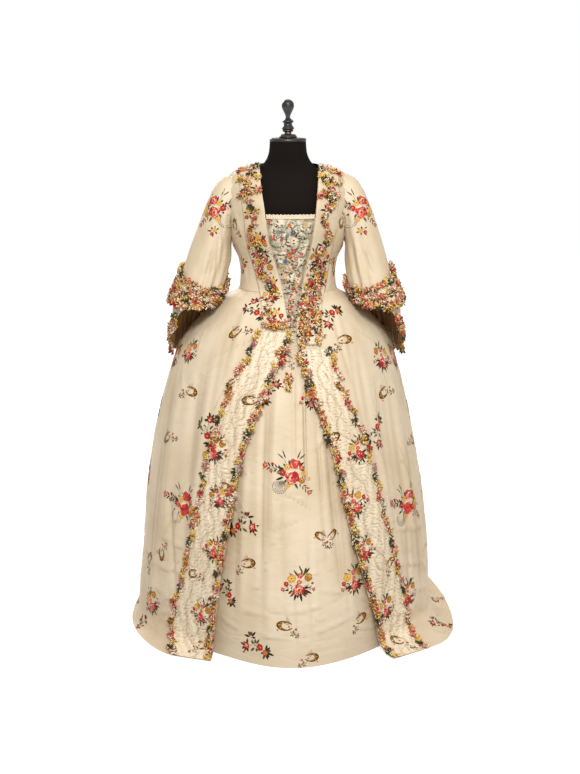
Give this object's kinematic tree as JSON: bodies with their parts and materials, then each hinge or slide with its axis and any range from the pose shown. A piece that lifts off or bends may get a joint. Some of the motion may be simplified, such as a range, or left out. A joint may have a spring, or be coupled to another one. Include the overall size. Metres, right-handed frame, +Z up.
{
  "type": "robe a la francaise on dress form",
  "caption": "Open sack-back gown with petticoat, stomacher, robings, gathered bands and flounced sleeves, standing on a limbless dress form.",
  "frame": {"origin": "on the floor, at the middle of the underside of the stand's foot", "axes": "+Z up, -Y ahead of the wearer, +X to the wearer's left"},
  "size_m": [0.972, 1.2123, 1.5367],
  "materials": {
    "gown_silk": "ribbed cream silk with brocaded flower sprays, soft sheen",
    "band_silk": "the same silk gathered into puckers",
    "stomacher_silk": "silver-grey brocade in gathered puffs",
    "fringe_silk": "knotted floss-silk fly fringe in mixed colours",
    "form_cloth": "matt black cotton cover",
    "form_wood": "turned wood painted black, satin",
    "form_brass": "aged, satin"
  },
  "bodies": {
    "root": {"bodice_back_L": "gown_silk", "bodice_back_R": "gown_silk", "bodice_front_L": "gown_silk", "bodice_front_R": "gown_silk", "petticoat": "gown_silk", "robing_L": "gown_silk", "robing_R": "gown_silk", "sack_back": "gown_silk", "skirt_side_L": "gown_silk", "skirt_side_R": "gown_silk", "sleeve_L": "gown_silk", "sleeve_R": "gown_silk", "sleeve_flounce_L": "gown_silk", "sleeve_flounce_R": "gown_silk", "cuff_L": "band_silk", "cuff_R": "band_silk", "furbelow_L": "band_silk", "furbelow_R": "band_silk", "stomacher": "stomacher_silk", "fringe_cuff_bottom_L": "fringe_silk", "fringe_cuff_bottom_R": "fringe_silk", "fringe_cuff_top_L": "fringe_silk", "fringe_cuff_top_R": "fringe_silk", "fringe_flounce_L": "fringe_silk", "fringe_flounce_R": "fringe_silk", "fringe_robing_L": "fringe_silk", "fringe_robing_R": "fringe_silk", "fringe_skirt_inner_L": "fringe_silk", "fringe_skirt_inner_R": "fringe_silk", "fringe_skirt_outer_L": "fringe_silk", "fringe_skirt_outer_R": "fringe_silk", "stomacher_frill": "fringe_silk", "form_torso": "form_cloth", "form_neck_cap": "form_wood", "form_finial_base": "form_wood", "form_finial": "form_wood", "form_foot": "form_wood", "form_pole": "form_wood", "form_collar": "form_brass"}
  },
  "joints": []
}
